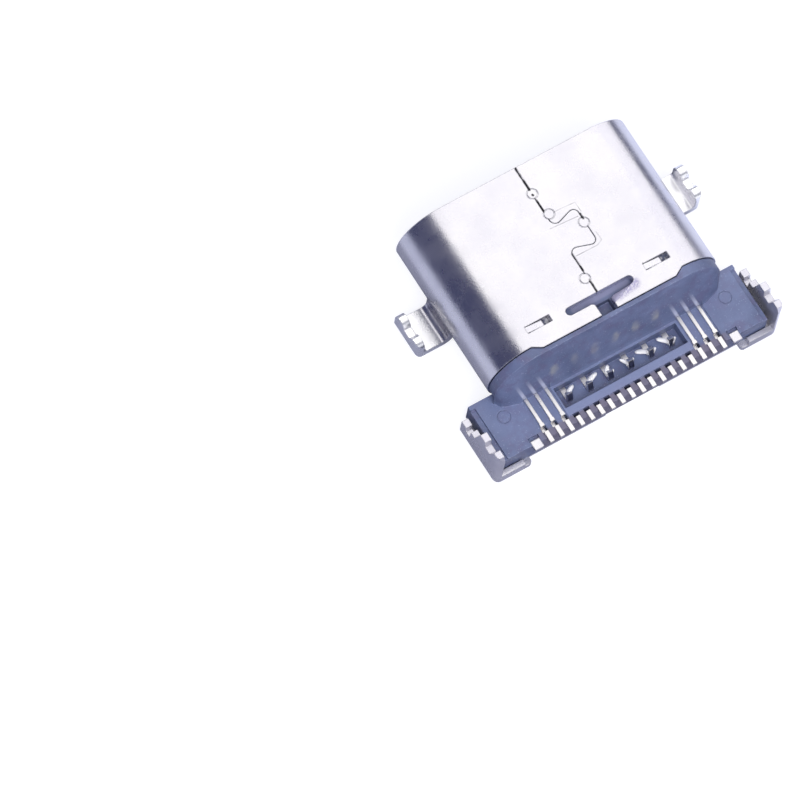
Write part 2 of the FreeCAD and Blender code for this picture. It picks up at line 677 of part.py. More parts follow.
def housing_block():
    """The rear moulding before the metal that runs through it is taken out."""
    body = make_body("housing_block")
    gap = cell.fit_gap
    bottom, top = shell_bottom, cell.flange_top
    half, start, rear = cell.flange_half, cell.flange_front, cell.flange_rear
    flange = [(-half, start), (half, start), (half, rear), (-half, rear)]
    plan(body, "flange", bottom, top - bottom, flange)
    front(body, "collar", cell.housing_front, cell.collar_end - cell.housing_front,
          *stadium(bore_half - gap, bore_radius - gap, shell_middle))
    floor_half = cell.shell_floor_half - gap
    floor_start = cell.shell_floor_length + gap
    plan(body, "floor", bottom, cell.skirt_height,
         box_corners(-floor_half, floor_half, floor_start, start + gap))

    # brim behind the shell's rear edge, as large as the shell
    brim_radius = shell_radius - cell.brim_inset
    brim_half = flat_half + brim_radius
    brim_start = cell.shell_side_length + gap
    end = cell.collar_end
    front(body, "brim", brim_start, end - brim_start, *stadium(brim_half, brim_radius, shell_middle))
    inner, outer = cell.seam_face_half, cell.seam_face_half + cell.edge_step_run
    bend = (cell.seam_face_length - cell.shell_side_length) / 2
    middle_x, middle_y = (inner + outer) / 2, cell.seam_face_length - bend + gap
    room_start, room_end = brim_start - cell.shell_wall, cell.seam_face_length + gap
    room = [(-outer, room_start), (outer, room_start), (outer, brim_start), (middle_x, middle_y),
            (inner, room_end), (-inner, room_end), (-middle_x, middle_y), (-outer, brim_start)]
    plan(body, "face_room", shell_top - cell.shell_wall - gap, cell.shell_wall * 2, room, kind="Pocket")

    # hip that falls from the brim to the flange in two ruled stretches
    low = top - cell.ledge_drop
    crest, foot = shell_middle + brim_radius, low + cell.hip_rear_rise
    share = (cell.hip_middle - end) / (cell.hip_rear - end)
    saddle = crest - (crest - foot) * share
    sections = []
    for name, place, width, level, radius in (
            ("brim", end, brim_half, crest, brim_radius),
            ("middle", cell.hip_middle, cell.hip_middle_half, saddle, cell.hip_middle_round),
            ("foot", cell.hip_rear, cell.hip_rear_half, foot, cell.hip_rear_round)):
        sketch = make_sketch(body, f"hip_{name}", "XZ", -place)
        side_top = level - radius
        draw(sketch, [(-width, low), (width, low), (width, side_top), (width - radius, level),
                      (-width + radius, level), (-width, side_top)], {2: radius, 4: radius})
        sections.append(sketch)
    loft = body.newObject("PartDesign::AdditiveLoft", "hip")
    loft.Profile = sections[0]
    loft.Sections = sections[1:]
    loft.Ruled = True

    # deeper hollow under the neck of the shell's slot
    neck = cell.slot_neck / 2
    neck_floor = shell_top - cell.shell_wall - cell.neck_drop
    plan(body, "neck_room", neck_floor, cell.shell_wall * 2,
         box_corners(-neck, neck, cell.slot_start + cell.slot_width, room_end), kind="Pocket")

    # room for the shell: its side walls, skirts and the lanced dimples
    clear = cell.skirt_length + gap
    reach = shell_half
    skirt_top = bottom + cell.skirt_height + gap
    room = plan(body, "skirt_room", bottom, skirt_top - bottom,
                box_corners(floor_half, reach, cell.shell_side_length, clear), kind="Pocket")
    mirror(body, room)
    for number, place in enumerate((cell.dimple_centre, -cell.dimple_centre)):
        left, right = place - cell.dimple_length / 2, place + cell.dimple_length / 2
        low = shell_top - cell.shell_wall - cell.dimple_drop - gap
        near, far = cell.dimple_start - gap, cell.dimple_start + cell.dimple_width + gap
        plan(body, f"dimple_room_{number}", low, cell.shell_height,
             box_corners(left, right + gap, near, far), kind="Pocket")

    # recess above the cover plate's pressed-in tab
    near, far = cell.tab_window_start, cell.tab_window_start + cell.tab_window_length
    plan(body, "tab_room", bottom, cell.tab_drop + gap,
         box_corners(-cell.tab_window_outer, cell.cover_wall - cell.tab_window_inner, near, far),
         kind="Pocket")

    # rim step round the flange, recess, sockets, trenches and tail ledge
    rim, drop = cell.rim_width, cell.rim_drop
    edge_step = plan(body, "side_rim", top - drop, top,
                     box_corners(half - rim, half + rim, cell.rim_start, rear + rim), kind="Pocket")
    mirror(body, edge_step)
    wide = cell.recess_half
    plan(body, "recess", cell.recess_floor, top,
         box_corners(-wide, wide, cell.recess_front, cell.recess_rear), kind="Pocket")
    trench = plan(body, "trench", top - cell.ledge_drop, top,
                  box_corners(cell.trench_inner, cell.trench_outer, cell.trench_start, rear + rim),
                  kind="Pocket")
    mirror(body, trench)
    plan(body, "ledge", top - cell.ledge_drop, top,
         box_corners(-cell.trench_inner, cell.trench_inner, cell.ledge_start, rear + rim), kind="Pocket")
    marks = make_sketch(body, "ejector_marks", "XY", top - cell.ring_depth)
    for across in (-cell.mark_across, cell.mark_across):
        circle(marks, (across, cell.mark_along), cell.mark_radius)
        circle(marks, (across, cell.mark_along), cell.mark_radius - cell.ring_width)
    extrude(body, marks, top, "Pocket", reverse=True)
    return body


def notches(body):
    """Openings in front of the tails, and a socket round each pin."""
    side_gap = cell.notch_side
    low, high = cell.notch_floor, cell.flange_top
    tails = []
    for number in range(18):
        centre = cell.tail_pitch * (number - 8.5)
        half = cell.tail_width / 2 + side_gap
        is_strip = number < 3 or number > 14
        start = cell.strip_end if is_strip else cell.ledge_start
        end = cell.strip_restart if is_strip else cell.riser_front
        tails.append(box_corners(centre - half, centre + half, start, end))
    plan_row(body, "tail_notches", low, high, tails)
    sockets = []
    for number in range(6):
        across, along, half = cell.pin_pitch * (number - 2.5), cell.pin_place, cell.socket_half
        sockets.append(box_corners(across - half, across + half, along - half, along + half))
    plan_row(body, "sockets", pin_run_top, high, sockets)
    half, centre = cell.tab_width / 2 + side_gap, cell.tab_centre
    front_edge, rear_edge = cell.tab_notch_front, cell.tab_notch_rear
    tabs = [box_corners(centre - half, centre + half, front_edge, rear_edge),
            box_corners(-centre - half, -centre + half, front_edge, rear_edge)]
    plan_row(body, "tab_notches", tab_run_top + cell.fit_gap, high, tabs)


def tongue_block():
    """The moulded tongue with its thicker root."""
    body = make_body("tongue_block")
    nose, start = cell.tongue_nose, cell.tongue_front
    low, high = tongue_bottom, tongue_top
    half = cell.tongue_half
    blade = [(start, low + nose), (start + nose, low), (cell.tongue_end, low), (cell.tongue_end, high),
             (start + nose, high), (start, high - nose)]
    side(body, "blade", -half, half * 2, blade)
    root_half, thick = cell.root_half, cell.root_thickness / 2
    step = cell.tongue_step
    front(body, "root", step, cell.tongue_end - step,
          box_corners(-root_half, root_half, shell_middle - thick, shell_middle + thick))
    near, far = cell.latch_front, cell.latch_front + cell.latch_length
    latch = plan(body, "latch", low, cell.tongue_thickness,
                 box_corners(half - cell.latch_depth, half * 2, near, far), kind="Pocket")
    mirror(body, latch)
    return body


def mid_plate():
    """The plate inside the tongue, whose arms drop to the wide ground tabs."""
    body = make_body("mid_plate")
    wall = cell.plate_wall
    low = shell_middle - wall / 2
    half, start, end = cell.plate_half, cell.plate_front, cell.plate_end
    notch = half - cell.latch_depth / 2
    arm = cell.tab_centre + cell.tab_width / 2
    arm_in = cell.tab_centre - cell.tab_width / 2
    near, far = cell.latch_front, cell.latch_front + cell.latch_length
    right = [(half, start), (half, near), (notch, near), (notch, far), (half, far),
             (half, cell.arm_front), (arm, cell.arm_front), (arm, cell.arm_end),
             (arm_in, cell.arm_end), (arm_in, end)]
    left = [(-x, y) for x, y in reversed(right)]
    plan(body, "plate", low, wall, right + left)
    tab_wall = cell.contact_wall
    riser = cell.tab_notch_rear
    leg = [(cell.arm_end - tab_wall, low + wall), (cell.arm_end - tab_wall, tab_run_bottom),
           (riser + tab_wall, tab_run_bottom), (riser + tab_wall, tail_bottom), (cell.tail_end, tail_bottom),
           (cell.tail_end, tail_top), (riser, tail_top), (riser, tab_run_top), (cell.arm_end, tab_run_top),
           (cell.arm_end, low + wall)]
    tab = side(body, "tab", arm_in, cell.tab_width, leg)
    mirror(body, tab)
    return body


def ground_plate(label, up):
    """A thin plate over one face of the tongue's root, turned down at its front edge."""
    body = make_body(label)
    wall, half = cell.ground_wall, cell.ground_half
    face = cell.root_thickness / 2
    blade_face = cell.tongue_thickness / 2
    start, end = cell.tongue_step, cell.housing_front
    levels = [(start - wall, blade_face), (start, blade_face), (start, face), (end, face), (end, face + wall),
              (start - wall, face + wall)]
    if up:
        profile = [(y, shell_middle + z) for y, z in levels]
    else:
        profile = [(y, shell_middle - z) for y, z in levels]
    side(body, "sheet", -half, half * 2, profile)
    return body


def contact_blade(body, front_edge, surface, direction, leg_rear, leg_end):
    """The part of a contact that lies on the tongue, and its leg down to the level of its run."""
    wall = cell.contact_wall
    width = cell.contact_width
    inner = surface - wall * direction
    upper, under = (surface, inner) if direction > 0 else (inner, surface)
    leg_front = leg_rear - wall
    profile = [(front_edge, upper), (front_edge, under), (leg_front, under), (leg_front, leg_end),
               (leg_rear, leg_end), (leg_rear, upper)]
    side(body, "blade", -width / 2, width, profile)


def contact_run(body, bottom, shift, start, turn, bend, end, blade_width, tail_width):
    """The flat run that swings sideways from the contact's pitch to the tail's pitch."""
    half, tail = blade_width / 2, tail_width / 2
    corners = [(-half, start), (half, start), (half, turn), (shift + tail, bend), (shift + tail, end),
               (shift - tail, end), (shift - tail, bend), (-half, turn)]
    plan(body, "run", bottom, cell.contact_wall, corners)


def place_contact(body, number):
    bind(body, "Placement.Base.x", cell.contact_pitch * (number - 5.5))


def lower_contact(number):
    """Cover-side contact: it passes under the recess and rises again to its tail."""
    body = make_body(f"lower_contact_{number + 1}")
    shift = (cell.tail_pitch - cell.contact_pitch) * (number - 5.5)
    wall, width = cell.contact_wall, cell.tail_width
    edge = front_of(number)
    contact_blade(body, edge, tongue_bottom, -1, cell.lower_leg, run_bottom)
    rise = cell.riser_front
    contact_run(body, run_bottom, shift, cell.lower_leg - wall, cell.lower_leg, cell.jog_end, rise,
                cell.contact_width, width)
    riser = [(rise, run_bottom), (rise + wall, run_bottom), (rise + wall, tail_bottom),
             (cell.tail_end, tail_bottom), (cell.tail_end, tail_top), (rise, tail_top)]
    side(body, "tail", shift - width / 2, width, riser)
    place_contact(body, number)
    return body


def front_of(number):
    """The four power contacts of a row reach further forward than the signal ones."""
    return cell.contact_front if number in (0, 3, 8, 11) else cell.short_contact_front


def strip_contact(number):
    """Seam-side contact at an end of the row: its strip lies open on the flange up to its tail."""
    body = make_body(f"upper_contact_{number + 1}")
    outward = 1 if number > 5 else -1
    place = cell.tail_pitch * (number - 5.5 + 3 * outward)
    shift = place - cell.contact_pitch * (number - 5.5)
    wall, width = cell.contact_wall, cell.tail_width
    contact_blade(body, front_of(number), tongue_top, 1, cell.upper_leg, tail_bottom)
    contact_run(body, tail_bottom, shift, cell.upper_leg - wall, cell.upper_leg, cell.jog_end, cell.strip_end,
                cell.contact_width, cell.strip_width)
    dip, first, second = cell.strip_dip, cell.strip_end, cell.strip_restart
    tail = [(first - wall, tail_top), (first - wall, tail_bottom - dip),
            (second + wall, tail_bottom - dip), (second + wall, tail_bottom),
            (cell.tail_end, tail_bottom), (cell.tail_end, tail_top), (second, tail_top),
            (second, tail_top - dip), (first, tail_top - dip), (first, tail_top)]
    side(body, "tail", shift - width / 2, width, tail)
    place_contact(body, number)
    return body


def pin_contact(number):
    """Seam-side contact in the middle of the row: it ends as a sheared pin in the recess."""
    body = make_body(f"upper_contact_{number + 1}")
    shift = (cell.pin_pitch - cell.contact_pitch) * (number - 5.5)
    wall, width = cell.contact_wall, cell.pin_width
    contact_blade(body, front_of(number), tongue_top, 1, cell.upper_leg, pin_run_bottom)
    end = cell.pin_place + wall / 2
    contact_run(body, pin_run_bottom, shift, cell.upper_leg - wall, cell.upper_leg, cell.recess_front, end,
                cell.contact_width, width)
    bend = cell.recess_floor + cell.contact_wall
    reach, top = cell.flake_reach, cell.pin_top
    pin = [(end - wall, pin_run_bottom), (end, pin_run_bottom), (end, bend), (end - reach + wall / 2, top),
           (end - reach - wall / 2, top - wall / 2), (end - wall, bend - wall / 2)]
    side(body, "pin", shift - width / 2, width, pin)
    place_contact(body, number)
    return body


seam(shell())
cover_plate()
lower = [lower_contact(number) for number in range(12)]
upper = [pin_contact(number) if 2 < number < 9 else strip_contact(number) for number in range(12)]
middle = mid_plate()
ground_plate("ground_plate_upper", up=True)
ground_plate("ground_plate_lower", up=False)
tongue_body = tongue_block()
housing_body = housing_block()
notches(housing_body)

metal = document.addObject("Part::Compound", "moulded_in_metal")
metal.Links = lower + upper + [middle]
filling = document.addObject("Part::Compound", "housing_filling")
filling.Links = [metal, tongue_body]
boolean("Cut", "tongue", tongue_body, metal)
boolean("Cut", "housing", housing_body, filling)
document.recompute()

SUB_PARTS = (["shell", "cover_plate", "housing", "tongue"]
             + ["mid_plate", "ground_plate_upper", "ground_plate_lower"]
             + [f"lower_contact_{number + 1}" for number in range(12)]
             + [f"upper_contact_{number + 1}" for number in range(12)])

for thing in document.Objects:
    if "Invalid" in thing.State or "Error" in thing.State:
        raise RuntimeError(f"{thing.Label} did not compute: {thing.State}")

os.makedirs("parts", exist_ok=True)
for label in SUB_PARTS:
    thing = document.getObjectsByLabel(label)[0]
    shape = thing.Shape
    if shape.isNull() or not shape.isValid() or len(shape.Solids) != 1:
        raise RuntimeError(f"{label} is not one sound solid: {len(shape.Solids)} solids")
    shape.exportStep(f"parts/{label}.step")
    box = shape.BoundBox
    print(f"{label}: {shape.Volume:.3f} mm3, x {box.XMin:.2f} to {box.XMax:.2f}, "
          f"y {box.YMin:.2f} to {box.YMax:.2f}, z {box.ZMin:.2f} to {box.ZMax:.2f}")
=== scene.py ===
import bpy
import bmesh
import math
from mathutils import Matrix, Vector


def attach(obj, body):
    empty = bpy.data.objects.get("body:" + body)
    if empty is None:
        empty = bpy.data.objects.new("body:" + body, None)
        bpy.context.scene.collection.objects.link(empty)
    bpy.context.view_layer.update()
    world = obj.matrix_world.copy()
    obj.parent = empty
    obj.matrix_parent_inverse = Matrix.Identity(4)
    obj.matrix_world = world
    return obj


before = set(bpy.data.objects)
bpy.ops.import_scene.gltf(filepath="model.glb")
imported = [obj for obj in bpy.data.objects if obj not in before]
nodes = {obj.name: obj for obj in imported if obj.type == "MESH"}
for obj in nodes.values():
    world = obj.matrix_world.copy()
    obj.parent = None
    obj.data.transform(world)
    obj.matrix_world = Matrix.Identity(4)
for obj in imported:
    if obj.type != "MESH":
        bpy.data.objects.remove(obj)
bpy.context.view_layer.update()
mm = 0.001
mouthToMiddle = 4.15     # the shared frame's origin lies this far behind the mouth
print("scene: frame loaded with", len(nodes), "solids")


# millimetres, with y counted from the mouth, into the frame's metres
def at(x, y, z):
    return Vector((x * mm, (y - mouthToMiddle) * mm, z * mm))


view = {"turn": 42.39, "lift": 66.76, "roll": 11.7, "distance": 270.45 * mm, "pixels": 30.14 / mm,
        "target": at(0, 4.0, 1.5), "targetPixel": (573.0, 286.4), "frame": 800, "sensor": 36,
        "clip": (0.01, 5)}


def placeCamera():
    turn, lift, roll = (math.radians(view[key]) for key in ("turn", "lift", "roll"))
    back = Vector((math.cos(lift) * math.sin(turn), math.cos(lift) * math.cos(turn), math.sin(lift)))
    level = (-back).cross(Vector((0, 0, 1))).normalized()
    upright = level.cross(-back)
    right = math.cos(roll) * level + math.sin(roll) * upright
    up = -math.sin(roll) * level + math.cos(roll) * upright
    focal = view["pixels"] * view["distance"]
    half = view["frame"] / 2
    aside = (view["targetPixel"][0] - half) / focal
    above = (half - view["targetPixel"][1]) / focal
    ray = -back + right * aside + up * above
    data = bpy.data.cameras.new("camera")
    data.sensor_width = view["sensor"]
    data.lens = focal / view["frame"] * view["sensor"]
    data.clip_start, data.clip_end = view["clip"]
    camera = bpy.data.objects.new("camera", data)
    bpy.context.scene.collection.objects.link(camera)
    turnTo = Matrix((right, up, back)).transposed()
    camera.matrix_world = Matrix.Translation(view["target"] - ray * view["distance"]) @ turnTo.to_4x4()
    bpy.context.scene.camera = camera


placeCamera()
bpy.context.scene.view_settings.view_transform = "Standard"
print("scene: camera placed")


def link(tree, source, target):
    tree.links.new(source, target)


# a colour ramp over a value, from a list of (place, grey or colour)
def ramp(tree, value, stops):
    node = tree.nodes.new("ShaderNodeValToRGB")
    while len(node.color_ramp.elements) < len(stops):
        node.color_ramp.elements.new(0.5)
    for element, (place, colour) in zip(node.color_ramp.elements, stops):
        element.position = place
        element.color = (*colour, 1) if isinstance(colour, tuple) else (colour, colour, colour, 1)
    link(tree, value, node.inputs["Fac"])
    return node.outputs["Color"]


def noise(tree, place, scale, detail=3, rough=0.5):
    node = tree.nodes.new("ShaderNodeTexNoise")
    node.inputs["Scale"].default_value = scale
    node.inputs["Detail"].default_value = detail
    node.inputs["Roughness"].default_value = rough
    link(tree, place, node.inputs["Vector"])
    return node.outputs["Fac"]


def mix(tree, factor, first, second, how="MIX"):
    node = tree.nodes.new("ShaderNodeMix")
    node.data_type = "RGBA"
    node.blend_type = how
    for name, kind, value in (("Factor", "VALUE", factor), ("A", "RGBA", first), ("B", "RGBA", second)):
        socket = [s for s in node.inputs if s.name == name and s.type == kind][0]
        if isinstance(value, (int, float)):
            socket.default_value = value
        elif isinstance(value, tuple):
            socket.default_value = (*value, 1)
        else:
            link(tree, value, socket)
    return [s for s in node.outputs if s.type == "RGBA"][0]


# one step of arithmetic on numbers that change over the surface
def calc(tree, how, first, second=0.0):
    node = tree.nodes.new("ShaderNodeMath")
    node.operation = how
    for socket, value in zip(node.inputs, (first, second)):
        if isinstance(value, (int, float)):
            socket.default_value = value
        else:
            link(tree, value, socket)
    return node.outputs["Value"]


def times(tree, *values):
    result = values[0]
    for value in values[1:]:
        result = calc(tree, "MULTIPLY", result, value)
    return result


# one at full, falling smoothly to zero at none
def fade(tree, value, full, none):
    node = tree.nodes.new("ShaderNodeMapRange")
    node.interpolation_type = "SMOOTHSTEP"
    for name, number in (("From Min", full), ("From Max", none), ("To Min", 1.0), ("To Max", 0.0)):
        node.inputs[name].default_value = number
    link(tree, value, node.inputs["Value"])
    return node.outputs["Result"]


def length(tree, first, second):
    return calc(tree, "SQRT", calc(tree, "ADD", times(tree, first, first), times(tree, second, second)))


# distance to the nearest middle of cells of one pitch, the first of which starts at zero
def repeated(tree, value, pitch):
    node = tree.nodes.new("ShaderNodeMath")
    node.operation = "WRAP"
    link(tree, value, node.inputs[0])
    node.inputs[1].default_value, node.inputs[2].default_value = pitch, 0.0
    return calc(tree, "ABSOLUTE", calc(tree, "SUBTRACT", node.outputs["Value"], pitch / 2))


# noise as a mask, from its scale per millimetre and the stops of its ramp
def speckled(tree, place, look):
    grains = noise(tree, place, look["scale"] / mm, look["detail"], look.get("rough", 0.5))
    return ramp(tree, grains, look["stops"])


# the axes of the marks in millimetres: across, to either side, back from the mouth and up
def inMillimetres(tree, place):
    split = tree.nodes.new("ShaderNodeSeparateXYZ")
    link(tree, place, split.inputs["Vector"])
    across, along, up = (calc(tree, "MULTIPLY", split.outputs[name], 1 / mm) for name in "XYZ")
    return {"across": across, "side": calc(tree, "ABSOLUTE", across),
            "along": calc(tree, "ADD", along, mouthToMiddle), "up": up}


# one where all the limits are kept: each is an axis, where it is full and where it has ended
def where(tree, axes, limits):
    return times(tree, *(fade(tree, axes[name], full, none) for name, full, none in limits))


# a line through points given across and along: one to a quarter of its width from the middle, and
# falling to zero at three quarters
def stroke(tree, axes, width, points):
    strength = 0.0
    for first, last in zip(points, points[1:]):
        run = Vector(last) - Vector(first)
        fromStart = [calc(tree, "SUBTRACT", axes["across"], first[0]),
                     calc(tree, "SUBTRACT", axes["along"], first[1])]
        reached = calc(tree, "ADD", times(tree, fromStart[0], run.x), times(tree, fromStart[1], run.y))
        share = calc(tree, "MAXIMUM", calc(tree, "DIVIDE", reached, run.length_squared), 0.0)
        share = calc(tree, "MINIMUM", share, 1.0)
        offset = [calc(tree, "SUBTRACT", start, times(tree, share, step))
                  for start, step in zip(fromStart, run)]
        near = fade(tree, length(tree, *offset), width * 0.25, width * 0.75)
        strength = calc(tree, "MAXIMUM", near, strength)
    return strength


# what lies on the moulding and shows through it, in millimetres, with noise scales per millimetre
moulding = {
    "blotches": {"scale": 2.4, "detail": 4, "rough": 0.65, "stops": [(0.47, 0.0), (0.62, 0.55)],
                 "colour": (0.125, 0.115, 0.215)},
    "dust": {"scale": 22, "detail": 1, "stops": [(0.68, 0.0), (0.74, 0.6)],
             "colour": (0.42, 0.46, 0.62)},
    # six dim patches in a row on the hip
    "patches": {"start": -4.5, "pitch": 0.8, "height": 2.0, "squash": 0.6, "reach": (0.05, 0.24),
                "rim": {"scale": 6, "detail": 3, "rough": 0.7, "amount": 0.3},
                "uneven": {"scale": 1.3, "detail": 2, "stops": [(0.35, 0.2), (0.6, 0.9)]},
                "limits": [("across", 2.55, 2.7), ("across", -1.75, -1.9), ("along", 6.13, 6.08),
                           ("up", 1.25, 1.15)],
                "colour": (0.31, 0.32, 0.35)},
    # the upper ends of the outer strips, leaning with the hip
    "strips": {"foot": 1.06, "lean": 0.33, "pitch": 0.4, "reach": (0.035, 0.09),
               "limits": [("strip", 3.54, 3.6), ("strip", 2.46, 2.4), ("up", 1.2, 2.3),
                          ("up", 1.12, 1.07), ("along", 6.15, 6.10)],
               "colour": (0.50, 0.53, 0.68)},
    "streaks": {"scale": 7, "detail": 1, "stops": [(0.42, 0.1), (0.52, 1.0)]},
}
# each zone is mixed in where its limits are kept, one after the other
mouldingZones = {
    "bandBehindRecess": {"amount": 0.55, "colour": (0.27, 0.31, 0.50),
                         "limits": [("along", 7.72, 7.80), ("along", 7.48, 7.42), ("side", 2.45, 2.5),
                                    ("up", 1.05, 0.95)]},
    # painted light: the flange's top face is painted lighter, as if lit from above
    "flangeTopPaintedLight": {"amount": 0.35, "colour": (0.19, 0.235, 0.40),
                  "limits": [("up", 1.15, 1.30), ("up", 1.02, 0.98), ("along", 7.5, 7.8)]},
    # pale, streaked patches under the open ends of the two latches
    "leftLatchPale": {"amount": 1.0, "colour": (0.60, 0.60, 0.64), "streaked": True,
                  "limits": [("along", 5.27, 5.35), ("along", 4.99, 4.91), ("up", 2.85, 2.75),
                             ("across", 2.00, 2.06), ("across", 1.80, 1.74)]},
    "rightLatchPale": {"amount": 1.0, "colour": (0.60, 0.60, 0.64), "streaked": True,
                   "limits": [("along", 5.27, 5.35), ("along", 4.99, 4.91), ("up", 2.85, 2.75),
                              ("across", -2.62, -2.56), ("across", -2.82, -2.88)]},
    # painted light along the middle of the slot, and painted shade in its neck
    "slotMiddlePaintedLight": {"amount": 0.8, "colour": (0.25, 0.26, 0.40), "limits": [("up", 2.95, 2.85)],
                   "width": 0.22, "points": [(0.90, 5.22), (-1.12, 5.22)]},
    "slotNeckPaintedShade": {"amount": 0.75, "colour": (0.035, 0.04, 0.085),
                 "limits": [("across", 0.24, 0.36), ("across", -0.36, -0.48), ("along", 5.50, 5.38),
                            ("along", 5.84, 5.90), ("up", 2.85, 2.75)]},
    "betweenTails": {"amount": 0.8, "colour": (0.165, 0.145, 0.20),
                     "limits": [("along", 7.82, 7.72), ("side", 3.45, 3.95)]},
}


def mouldingMarks(tree, place, colour):
    axes = inMillimetres(tree, place)
    for name in ("blotches", "dust"):
        colour = mix(tree, speckled(tree, place, moulding[name]), colour, moulding[name]["colour"])
    patches, rim = moulding["patches"], moulding["patches"]["rim"]
    ragged = noise(tree, place, rim["scale"] / mm, rim["detail"], rim["rough"])
    ragged = times(tree, calc(tree, "SUBTRACT", ragged, 0.5), rim["amount"])
    fromStart = calc(tree, "SUBTRACT", axes["across"], patches["start"])
    beside = calc(tree, "ADD", repeated(tree, fromStart, patches["pitch"]), ragged)
    above = times(tree, calc(tree, "SUBTRACT", axes["up"], patches["height"]), patches["squash"])
    near = fade(tree, length(tree, beside, above), *patches["reach"])
    dim = times(tree, near, where(tree, axes, patches["limits"]), speckled(tree, place, patches["uneven"]))
    colour = mix(tree, dim, colour, patches["colour"])
    streaks = speckled(tree, place, moulding["streaks"])
    for zone in mouldingZones.values():
        amount = times(tree, where(tree, axes, zone["limits"]), zone["amount"])
        if "streaked" in zone:
            amount = times(tree, amount, streaks)
        if "points" in zone:
            amount = times(tree, amount, stroke(tree, axes, zone["width"], zone["points"]))
        colour = mix(tree, amount, colour, zone["colour"])
    strips = moulding["strips"]
    lean = times(tree, calc(tree, "SUBTRACT", axes["up"], strips["foot"]), strips["lean"])
    axes["strip"] = calc(tree, "ABSOLUTE", calc(tree, "SUBTRACT", axes["across"], lean))
    near = fade(tree, repeated(tree, axes["strip"], strips["pitch"]), *strips["reach"])
    return mix(tree, times(tree, near, where(tree, axes, strips["limits"])), colour, strips["colour"])


# marks on the shell's upper face, each a set of lines given as a width and points, and its ears painted
# paler as painted light
sheet = {
    "face": [("up", 3.34, 3.30)],
    # the tool that closes the seam leaves a fine outline beside it, and the latches one at their roots
    "outline": {"amount": 0.5, "colour": (0.20, 0.20, 0.22),
                "uneven": {"scale": 4, "detail": 2, "stops": [(0.35, 0.35), (0.6, 1.0)]},
                "lines": [(0.035, [(-0.28, 2.00), (-1.08, 2.05), (-1.08, 2.43)]),
                          (0.035, [(0.15, 2.46), (-0.90, 2.53)]),
                          (0.035, [(-1.12, 3.31), (-1.13, 3.63), (-0.91, 3.73), (-0.06, 3.72)]),
                          (0.035, [(2.74, 5.02), (2.79, 5.15), (2.78, 5.27), (2.70, 5.30)]),
                          (0.035, [(-1.88, 5.01), (-1.83, 5.15), (-1.84, 5.29), (-1.92, 5.32)])]},
    # painted shade where the gap between the seam's edges is open
    "gap": {"amount": 1.0, "colour": (0.03, 0.03, 0.035),
            "uneven": {"scale": 4, "detail": 2, "stops": [(0.35, 0.35), (0.6, 1.0)]},
            "lines": [(0.09, [(0, 0), (0, 0.92)]), (0.08, [(0, 1.36), (0, 1.80)]),
                      (0.08, [(-1.01, 2.49), (-1.01, 2.68)]), (0.08, [(0, 3.60), (0, 4.28)]),
                      (0.08, [(-0.01, 4.66), (0, 5.14)]), (0.08, [(0.01, 1.13), (0.0, 1.15)])]},
    # painted shade on the strip of the sheet that is pressed down beside the slot's neck
    "pressed": {"amount": 0.9, "colour": (0.34, 0.32, 0.50),
                "uneven": {"scale": 14, "detail": 2, "stops": [(0.35, 0.4), (0.6, 1.0)]},
                "lines": [(0.36, [(-0.52, 5.60), (-1.25, 5.50)])]},
    # painted light: the ears are painted paler than the rest of the sheet
    "ears": {"limits": [("side", 4.8, 4.55)], "colour": (0.93, 0.93, 0.95)},
}


def sheetMarks(tree, place, colour):
    axes = inMillimetres(tree, place)
    onFace = where(tree, axes, sheet["face"])
    # in turn the outline, the painted shade over the open gap and the painted shade on the pressed strip
    for mark in (sheet["outline"], sheet["gap"], sheet["pressed"]):
        drawn = 0.0
        for width, points in mark["lines"]:
            drawn = calc(tree, "MAXIMUM", stroke(tree, axes, width, points), drawn)
        uneven = speckled(tree, place, mark["uneven"])
        colour = mix(tree, times(tree, drawn, onFace, uneven, mark["amount"]), colour, mark["colour"])
    # last, the painted light that makes the ears paler
    return mix(tree, where(tree, axes, sheet["ears"]["limits"]), colour, sheet["ears"]["colour"])


# how the noises and the turn at an edge become masks, the same in every finish
masks = {"mottle": [(0.35, 0.0), (0.65, 1.0)], "speck": [(0.38, 0.25), (0.6, 1.0)],
         "patch": (0.3, 0.7), "edge": [(0.80, 1.0), (0.985, 0.0)], "bevelSamples": 4}


# white where a surface turns within the radius
def edges(tree, radius):
    bevel = tree.nodes.new("ShaderNodeBevel")
    bevel.samples = masks["bevelSamples"]
    bevel.inputs["Radius"].default_value = radius
    plain = tree.nodes.new("ShaderNodeNewGeometry")
    dot = tree.nodes.new("ShaderNodeVectorMath")
    dot.operation = "DOT_PRODUCT"
    link(tree, bevel.outputs["Normal"], dot.inputs[0])
    link(tree, plain.outputs["Normal"], dot.inputs[1])
    return ramp(tree, dot.outputs["Value"], masks["edge"])


